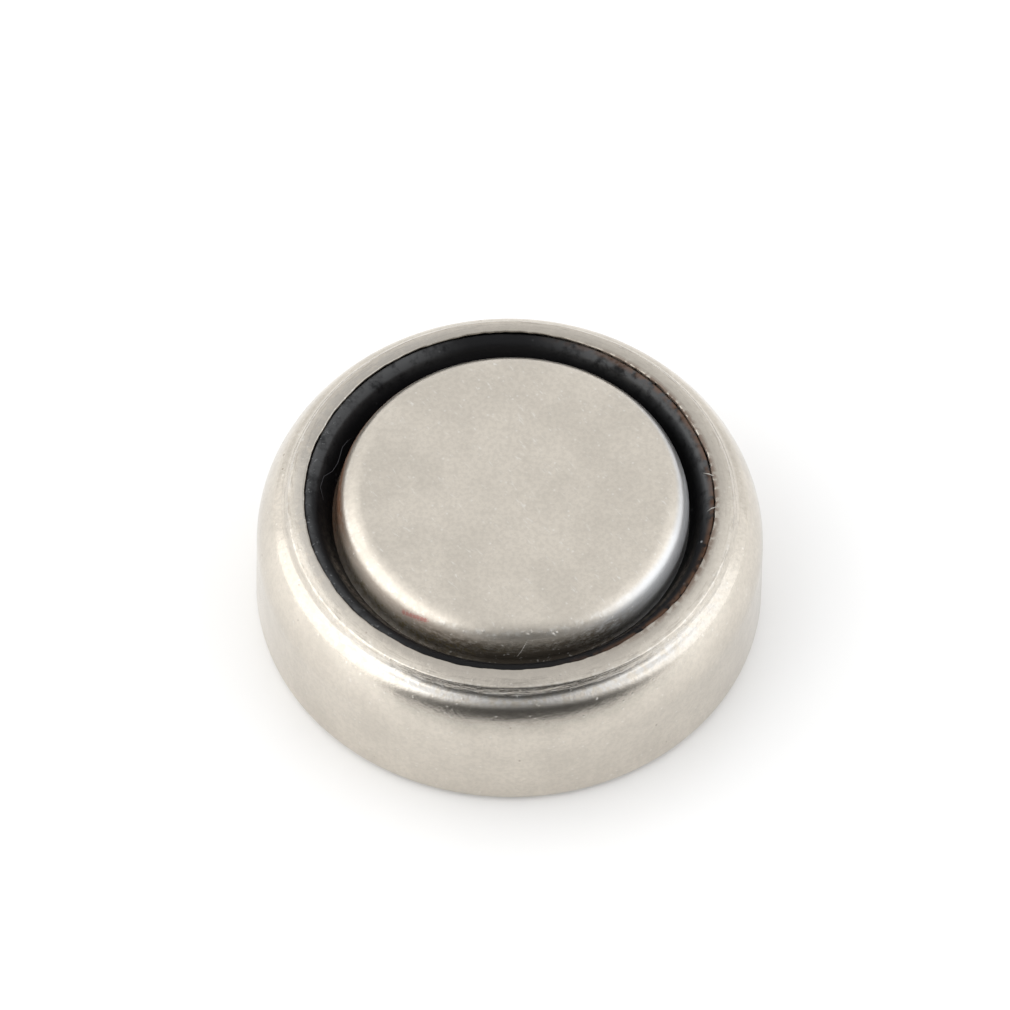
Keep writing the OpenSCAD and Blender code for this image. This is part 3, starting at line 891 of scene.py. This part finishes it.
def nylon_material(finishes, lip, groove):
    """Black nylon, streaked round the axis where it was squeezed. A glossy film lies behind, with a painted
    sheen, dust and a painted sheen along the lip at the left, faint painted glints, a brown stain along the
    lip at the right, and soil in the groove in front."""
    skin = Skin("gasket_nylon", finishes.nylon, 0.42)
    w = skin.w
    skin.shader.inputs["Specular IOR Level"].default_value = 0.12
    skin.shader.inputs["Coat Roughness"].default_value = 0.30
    streak = w.noise(skin.round_axis(w.from_axis(skin.place), 4.0, 9.0), 1.0, detail=3.0, roughness=0.6)
    mottle = skin.noise(3.2, detail=4.0, roughness=0.65)
    grain = w.group(plate_grain_group(), Place=skin.place, Tooth=16.0, Peel=5.0, Grains=7.0, Sparse=0.95)

    # Behind, at the left and right: a glossy film as a coat, which is also painted lighter as a painted
    # sheen.
    behind = w.most(w.product(skin.sector(-126.0, 42.0), 0.75), skin.sector(126.0, 52.0))
    film = w.product(behind, w.ramp(mottle, 0.28, 0.58), skin.near(lip, 0.62))
    dusty = w.product(skin.near(lip, 0.24), skin.sector(-80.0, 60.0))
    dust = w.product(dusty, w.ramp(skin.noise(9.0, roughness=0.7), 0.575, 0.655))
    # A pale haze along the lip at the left: dust, and a painted sheen.
    haze_and_sheen = w.product(dusty, w.ramp(mottle, 0.30, 0.55, 0.10, 0.26))
    # Painted lighter in the dust colour: dust and specks, and the painted sheen of the haze and film, and
    # faint painted glints on the grains.
    pale = w.most(w.product(dust, 0.8), haze_and_sheen, w.product(grain["Glint"], 0.12), w.product(film, 0.18),
                  w.product(skin.blots(NYLON_SPECKS, 4.0), 0.8))
    soiled = w.product(skin.near(groove, 0.30), skin.sector(0.0, 100.0),
                       w.ramp(skin.noise(9.0, detail=4.0, roughness=0.75), 0.38, 0.62))
    skin.paint(finishes.soil, soiled, 0.9)
    worn = w.most(skin.sector(-44.0, 34.0), skin.sector(47.0, 32.0))
    skin.paint(dimmed(finishes.grit, 0.5), soiled, worn, 0.9)
    skin.paint(finishes.dust, pale)
    skin.paint(finishes.stain, skin.near((lip.x - 0.05 * MM, GASKET_HIGH.z), 0.15), skin.sector(92.0, 85.0),
               w.ramp(skin.noise(5.0, detail=3.0), 0.34, 0.54), 0.9)
    relief = w.total(w.product(streak, 0.010), w.product(grain["Height"], 0.004))
    return skin.done(Roughness=w.ramp(streak, 0.3, 0.7, 0.36, 0.50), Coat_Weight=w.product(film, 0.95),
                     Normal=bump(w, relief))


def lint_material(name, base_colour):
    """A stray textile fibre, lighter and darker along its length."""
    skin = Skin(name, base_colour, 0.6)
    skin.base = skin.w.mix(skin.noise(5.0), dimmed(base_colour, 0.5), base_colour)
    return skin.done()


def powder_material(name, base_colour, roughness, size, depth):
    """A pressed powder or a paste. Its grains' size and their depth are in millimetres."""
    skin = Skin(name, base_colour, roughness)
    w = skin.w
    grains = w.add("ShaderNodeTexVoronoi", {"Vector": skin.place, "Scale": 1.0 / size}).outputs["Distance"]
    lighter = tuple(min(1.0, c) for c in dimmed(base_colour, 1.7))
    skin.paint(lighter, skin.noise(1.5, detail=3.0), grains)
    return skin.done(Normal=bump(w, w.math("SUBTRACT", 1.0, grains), depth))


def steel_material(name, base_colour):
    """Plain plated steel, faintly brushed by the press."""
    skin = Skin(name, base_colour, 0.32, metallic=1.0)
    w = skin.w
    brushed = w.noise(skin.stretched(3.0, 22.0, 22.0), 1.0)
    skin.base = w.mix(brushed, dimmed(base_colour, 0.85), base_colour)
    return skin.done(Roughness=w.ramp(brushed, 0.3, 0.7, 0.26, 0.40), Normal=bump(w, brushed, 0.002))


def film_material(name, base_colour):
    """Wet cellophane: faint wrinkles and a gloss."""
    skin = Skin(name, base_colour, 0.15)
    w = skin.w
    wrinkle = w.noise(skin.stretched(1.0, 2.5, 1.0), 0.9, detail=4.0)
    skin.base = w.mix(wrinkle, dimmed(base_colour, 0.8), base_colour)
    return skin.done(Roughness=w.ramp(wrinkle, 0.3, 0.7, 0.10, 0.25), Normal=bump(w, wrinkle, 0.02))


def fibre_material(name, base_colour):
    """Non-woven fibre: threads that cross in two directions."""
    skin = Skin(name, base_colour, 0.85)
    w = skin.w
    crossed = w.most(w.noise(skin.stretched(2.0, 16.0, 6.0), 1.0, detail=3.0),
                     w.noise(skin.stretched(16.0, 2.0, 6.0), 1.0, detail=3.0))
    skin.base = w.mix(w.ramp(crossed, 0.4, 0.7), dimmed(base_colour, 0.75), base_colour)
    return skin.done(Normal=bump(w, crossed, 0.03))


# ---- Pieces ----

class BUTTONCELL_OT_positive_can(bpy.types.Operator):
    """Make the positive can: a drawn cup whose rim is crimped in over the gasket"""
    bl_idname = "button_cell.positive_can"
    bl_label = "Positive can"

    def execute(self, context):
        can = context.scene.cell_can
        lip, ring = lip_corner(can), ring_corner(can)
        wall_top_z = lip.y - can.shoulder_depth
        edge_foot_z = lip.y - can.sheet
        ring_dents = 0.006 * MM

        def shape(points):
            """Makes the opening ragged and off centre, ripples the shoulder and leaves the ring uneven."""
            flat = np.hypot(points[:, 0], points[:, 1])
            outward = points[:, :2] / np.maximum(flat, 1e-9)[:, None]

            # The opening's edge
            near_lip = smoothstep(lip.x + 0.20 * MM, lip.x + 0.03 * MM, flat)
            near_lip *= smoothstep(edge_foot_z - 0.05 * MM, edge_foot_z + 0.03 * MM, points[:, 2])
            column = points * np.array([1.0, 1.0, 0.35])
            ragged = uneven(column, (0.45, 1.2, 1), (0.35, 0.34, 7), (0.20, 0.13, 2))
            step = can.lip_wander * ragged * near_lip

            # The shoulder and the ring's outer edge
            crimped = smoothstep(wall_top_z, wall_top_z + 0.4 * can.shoulder_depth, points[:, 2])
            crimped *= smoothstep(ring.x, ring.x + 0.15 * MM, flat)
            step -= can.ripple * crimped * (0.5 + 0.5 * wander(points, 0.9 * MM, 3))
            at_edge = smoothstep(ring.x - 0.14 * MM, ring.x - 0.02 * MM, flat)
            at_edge *= smoothstep(ring.x + 0.22 * MM, ring.x + 0.08 * MM, flat)
            at_edge *= smoothstep(ring.y - 0.22 * MM, ring.y - 0.14 * MM, points[:, 2])
            step += can.edge_wander * at_edge * uneven(column, (0.6, 0.7, 8), (0.4, 0.25, 9))
            points[:, :2] += outward * step[:, None]
            points[:, 0] += can.lip_shift_right * near_lip
            points[:, 1] += can.lip_shift_back * near_lip

            # The ring's face
            on_ring = smoothstep(ring.x + 0.02 * MM, ring.x - 0.1 * MM, flat)
            on_ring *= smoothstep(ring.y - 0.12 * MM, ring.y - 0.02 * MM, points[:, 2])
            points[:, 2] -= ring_dents * on_ring * (0.5 + 0.5 * wander(points, 1.1 * MM, 4))
            return points

        piece = turned("can_shell", can_section(can), segments=640, arc_step=math.radians(4.0),
                       longest=0.35 * MM, shape=shape)
        dress(piece, can_material(context.scene.cell_finishes, lip, ring), "positive_can")
        return {"FINISHED"}


class BUTTONCELL_OT_negative_cap(bpy.types.Operator):
    """Make the negative cap: a drawn sheet with a raised crown and a folded skirt"""
    bl_idname = "button_cell.negative_cap"
    bl_label = "Negative cap"

    def execute(self, context):
        can, cap = context.scene.cell_can, context.scene.cell_cap
        crown_r = crown_radius(can, cap)
        shoulder_z = cap_shoulder_height(can, cap)

        def shape(points):
            """Shifts the crown off the can's axis."""
            raised = smoothstep(shoulder_z - 0.1 * MM, shoulder_z + 0.35 * MM, points[:, 2])
            points[:, 0] += cap.crown_shift * raised
            return points

        piece = turned("cap_shell", cap_section(can, cap), segments=560, arc_step=math.radians(4.0),
                       longest=0.35 * MM, shape=shape)
        mid_arc = 0.3 * cap.crown_edge_radius
        crown_edge = (crown_r - mid_arc, CAP_HIGH.z - mid_arc)
        crown_foot = (crown_r, shoulder_z + 0.3 * MM)
        material = cap_material(context.scene.cell_finishes, crown_edge, crown_foot)
        dress(piece, material, "negative_cap")
        return {"FINISHED"}


class BUTTONCELL_OT_sealing_gasket(bpy.types.Operator):
    """Make the sealing gasket, whose bead is squeezed up beside the crown"""
    bl_idname = "button_cell.sealing_gasket"
    bl_label = "Sealing gasket"

    def execute(self, context):
        can, cap, gasket = context.scene.cell_can, context.scene.cell_cap, context.scene.cell_gasket
        lip = lip_corner(can)
        edge_foot_z = lip.y - can.sheet
        crown_r = crown_radius(can, cap)
        shoulder_z = cap_shoulder_height(can, cap)

        def shape(points):
            """Leaves the bead uneven, and keeps the gasket beside the shifted crown and opening."""
            flat = np.hypot(points[:, 0], points[:, 1])

            # The squeezed bead
            bead = smoothstep(shoulder_z + 0.1 * MM, shoulder_z + 0.4 * MM, points[:, 2])
            bead *= smoothstep(lip.x + 0.01 * MM, lip.x - 0.03 * MM, flat)
            squeezed = 0.5 + 0.5 * uneven(points, (0.6, 0.8, 5), (0.4, 0.28, 6))
            points[:, 2] -= gasket.squeeze * bead * squeezed

            # Where it lies on the crown, and under the can's lip
            beside = smoothstep(crown_r + 0.35 * MM, crown_r + 0.05 * MM, flat)
            inner = smoothstep(shoulder_z - 0.05 * MM, shoulder_z + 0.35 * MM, points[:, 2])
            points[:, 0] += cap.crown_shift * beside * inner
            at_lip = smoothstep(lip.x - 0.25 * MM, lip.x - 0.05 * MM, flat)
            at_lip *= smoothstep(edge_foot_z - 0.05 * MM, edge_foot_z + 0.03 * MM, points[:, 2])
            points[:, 0] += can.lip_shift_right * at_lip
            points[:, 1] += can.lip_shift_back * at_lip
            return points

        piece = turned("gasket_ring", gasket_section(can, cap, gasket), segments=560,
                       arc_step=math.radians(6.0), longest=0.12 * MM, shape=shape)
        groove = (crown_r + 0.17 * MM, shoulder_z + 0.42 * MM)
        material = nylon_material(context.scene.cell_finishes, lip, groove)
        dress(piece, material, "sealing_gasket")
        return {"FINISHED"}


class BUTTONCELL_OT_inner_parts(bpy.types.Operator):
    """Give the sealed electrodes and separators their materials"""
    bl_idname = "button_cell.inner_parts"
    bl_label = "Electrodes and separators"

    def execute(self, context):
        finishes = context.scene.cell_finishes
        materials = {
            "cathode_pellet": powder_material("cathode_mix", finishes.cathode, roughness=0.75,
                                              size=0.06, depth=0.010),
            "cathode_ring": steel_material("ring_steel", finishes.ring_steel),
            "barrier_film": film_material("barrier_cellophane", finishes.cellophane),
            "absorbent_pad": fibre_material("pad_fibre", finishes.fibre),
            "anode_gel": powder_material("zinc_gel", finishes.zinc, roughness=0.45, size=0.14, depth=0.025),
        }
        for node, material in materials.items():
            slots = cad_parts[node].data.materials
            slots.clear()
            slots.append(material)
        return {"FINISHED"}


class BUTTONCELL_OT_lint(bpy.types.Operator):
    """Make the stray fibres: two that stand at the lip, one across the groove and a long curl in it"""
    bl_idname = "button_cell.lint"
    bl_label = "Lint"

    def execute(self, context):
        finishes = context.scene.cell_finishes
        pale = lint_material("pale_lint", finishes.lint)
        dark = lint_material("dark_lint", finishes.dark_lint)
        for name, material, paths, radius in (("lip_fibres", pale, LIP_FIBRES, 0.015),
                                              ("groove_fibre", pale, [GROOVE_FIBRE], 0.005),
                                              ("groove_curl", dark, [GROOVE_CURL], 0.006)):
            routes = [[around(*spot) * MM for spot in path] for path in paths]
            dress(threads(name, routes, radius * MM), material)
        return {"FINISHED"}


# ---- Stage ----

def make_world():
    """A white surround of strength 1."""
    world = bpy.data.worlds.new("white_surround")
    bpy.context.scene.world = world
    world.use_nodes = True
    world.node_tree.nodes["Background"].inputs["Color"].default_value = (1.0, 1.0, 1.0, 1.0)
    world.node_tree.nodes["Background"].inputs["Strength"].default_value = 1.0


def make_floor(stage):
    """A pale floor with a faint gloss. The camera, reflections and clear pieces see it a little brighter."""
    half = stage.floor_size / 2
    floor = link_mesh("floor", [(-half, -half, 0), (half, -half, 0), (half, half, 0), (-half, half, 0)],
                      [(0, 1, 2, 3)])
    material, w, shader = new_material("floor_white", (stage.floor_tone,) * 3, 0.25)
    glow = w.add("ShaderNodeEmission", {"Color": (1.0, 1.0, 1.0), "Strength": stage.floor_lift})
    lifted = w.add("ShaderNodeAddShader", {0: shader.outputs[0], 1: glow.outputs[0]})
    path = w.add("ShaderNodeLightPath").outputs
    seen = w.most(path["Is Camera Ray"], path["Is Glossy Ray"], path["Is Transmission Ray"])
    shown = w.add("ShaderNodeMixShader", {0: seen, 1: shader.outputs[0], 2: lifted.outputs[0]})
    w.join(shown.outputs[0], material.node_tree.nodes["Material Output"].inputs["Surface"])
    shader.inputs["Specular IOR Level"].default_value = 0.75
    floor.data.materials.append(material)


def make_soft_box(name, radiance, tint, azimuth, elevation, width, height, distance=420.0 * MM):
    """A soft box that faces the cell. Its place and sizes are angles seen from the cell, in degrees."""
    lamp = bpy.data.lights.new(name, "AREA")
    lamp.color = tint
    lamp.shape = "RECTANGLE"
    lamp.size = 2 * distance * math.tan(math.radians(width) / 2)
    lamp.size_y = 2 * distance * math.tan(math.radians(height) / 2)
    lamp.energy = radiance * math.pi * lamp.size * lamp.size_y
    box = bpy.data.objects.new(name, lamp)
    way = direction(math.radians(azimuth), math.radians(elevation))
    box.location = way * distance
    box.rotation_euler = way.to_track_quat("Z", "Y").to_euler()
    box.visible_camera = False
    bpy.context.scene.collection.objects.link(box)


def make_curtain(stage):
    """A dark curtain in front of the cell, which satin metal shows as a dark band. It fades at its edges."""
    radius, rows, columns = 300.0 * MM, 24, 48
    half_width, top = math.radians(95.0), math.radians(88.0)
    narrowest_at = math.radians(40.0)
    clear_at, full_at = math.radians(110.0), math.radians(15.0)
    points = [direction(half_width * (2 * c / columns - 1), top * r / rows) * radius
              for r in range(rows + 1) for c in range(columns + 1)]
    wide = columns + 1
    corners = [r * wide + c for r in range(rows) for c in range(columns)]
    faces = [(a, a + 1, a + wide + 1, a + wide) for a in corners]
    curtain = link_mesh("dark_curtain", [tuple(p) for p in points], faces)
    curtain.visible_camera = False
    curtain.visible_shadow = False

    material, w, shader = new_material("curtain_grey", (0.0, 0.0, 0.0), 1.0)
    parts = w.add("ShaderNodeSeparateXYZ", {"Vector": w.add("ShaderNodeTexCoord").outputs["Object"]}).outputs
    azimuth = w.math("ARCTAN2", parts["X"], w.product(parts["Y"], -1.0))
    elevation = w.math("ARCSINE", w.math("DIVIDE", parts["Z"], radius))
    across = w.total(w.math("ABSOLUTE", w.math("SUBTRACT", azimuth, stage.curtain_turn)),
                     w.product(w.math("MINIMUM", elevation, narrowest_at), stage.curtain_narrowing))
    sides = w.ramp(across, stage.curtain_half + stage.curtain_fade, stage.curtain_half - stage.curtain_fade)
    shown = w.product(sides, w.ramp(elevation, clear_at, full_at))
    cloth = w.add("ShaderNodeEmission", {"Strength": stage.curtain_tone})
    clear = w.add("ShaderNodeBsdfTransparent")
    hung = w.add("ShaderNodeMixShader", {0: shown, 1: clear.outputs[0], 2: cloth.outputs[0]})
    material.node_tree.nodes.remove(shader)
    w.join(hung.outputs[0], material.node_tree.nodes["Material Output"].inputs["Surface"])
    curtain.data.materials.append(material)


def make_camera(stage):
    """The camera. It is aimed at a point over the cell's middle, and then moved across its view."""
    camera = bpy.data.objects.new("camera", bpy.data.cameras.new("camera"))
    bpy.context.scene.collection.objects.link(camera)
    bpy.context.scene.camera = camera
    camera.data.sensor_width = 36.0
    camera.data.lens = stage.camera_lens
    away = direction(0.0, stage.camera_elevation)
    camera.rotation_mode = "QUATERNION"
    level = away.to_track_quat("Z", "Y")
    camera.rotation_quaternion = level @ Matrix.Rotation(stage.camera_roll, 3, "Z").to_quaternion()
    right = camera.rotation_quaternion @ Vector((1.0, 0.0, 0.0))
    up = camera.rotation_quaternion @ Vector((0.0, 1.0, 0.0))
    middle = Vector((0.0, 0.0, stage.look_at_height))
    camera.location = middle + away * stage.camera_distance + right * stage.frame_right + up * stage.frame_up


class BUTTONCELL_OT_stage(bpy.types.Operator):
    """Make the camera, the pale floor, the white surround, the soft boxes and the dark curtain"""
    bl_idname = "button_cell.stage"
    bl_label = "Stage"

    def execute(self, context):
        stage = context.scene.cell_stage
        make_camera(stage)
        make_world()
        make_floor(stage)
        warm, cool = (1.0, 0.99, 0.97), (0.955, 0.975, 1.0)
        for name, radiance, tint, azimuth, elevation, width, height in (
                ("soft_box_left", stage.left_radiance, warm, -78.0, 28.0, 70.0, 54.0),
                ("spill_left", stage.left_spill, warm, -86.0, 36.0, 92.0, 72.0),
                ("soft_box_right", stage.right_radiance, cool, 84.0, 22.0, 52.0, 42.0),
                ("spill_right", stage.right_spill, cool, 88.0, 32.0, 76.0, 64.0)):
            make_soft_box(name, radiance, tint, azimuth, elevation, width, height)
        make_curtain(stage)
        context.scene.view_settings.view_transform = "Standard"
        return {"FINISHED"}


# ---- Sidebar ----

class BUTTONCELL_PT_sidebar(bpy.types.Panel):
    """Sizes, colours and operators of the button cell"""
    bl_idname = "BUTTONCELL_PT_sidebar"
    bl_label = "Button cell"
    bl_space_type = "VIEW_3D"
    bl_region_type = "UI"
    bl_category = "Button cell"

    def draw(self, context):
        for name, group in PROPERTY_GROUPS.items():
            box = self.layout.box()
            box.label(text=group.__doc__)
            for prop in group.__annotations__:
                box.prop(getattr(context.scene, name), prop)
        for operator in OPERATORS:
            self.layout.operator(operator.bl_idname)


PROPERTY_GROUPS = {
    "cell_can": CanSizes,
    "cell_cap": CapSizes,
    "cell_gasket": GasketSizes,
    "cell_finishes": Finishes,
    "cell_stage": StageSettings,
}
OPERATORS = [
    BUTTONCELL_OT_stage,
    BUTTONCELL_OT_positive_can,
    BUTTONCELL_OT_negative_cap,
    BUTTONCELL_OT_sealing_gasket,
    BUTTONCELL_OT_inner_parts,
    BUTTONCELL_OT_lint,
]


def register():
    for name, group in PROPERTY_GROUPS.items():
        bpy.utils.register_class(group)
        setattr(bpy.types.Scene, name, bpy.props.PointerProperty(type=group))
    for cls in [*OPERATORS, BUTTONCELL_PT_sidebar]:
        bpy.utils.register_class(cls)


def unregister():
    for cls in [BUTTONCELL_PT_sidebar, *reversed(OPERATORS)]:
        bpy.utils.unregister_class(cls)
    for name, group in reversed(PROPERTY_GROUPS.items()):
        delattr(bpy.types.Scene, name)
        bpy.utils.unregister_class(group)


def main():
    register()
    bpy.ops.button_cell.stage()
    bpy.ops.button_cell.positive_can()
    bpy.ops.button_cell.negative_cap()
    bpy.ops.button_cell.sealing_gasket()
    bpy.ops.button_cell.inner_parts()
    bpy.ops.button_cell.lint()


if __name__ == "__main__":
    main()
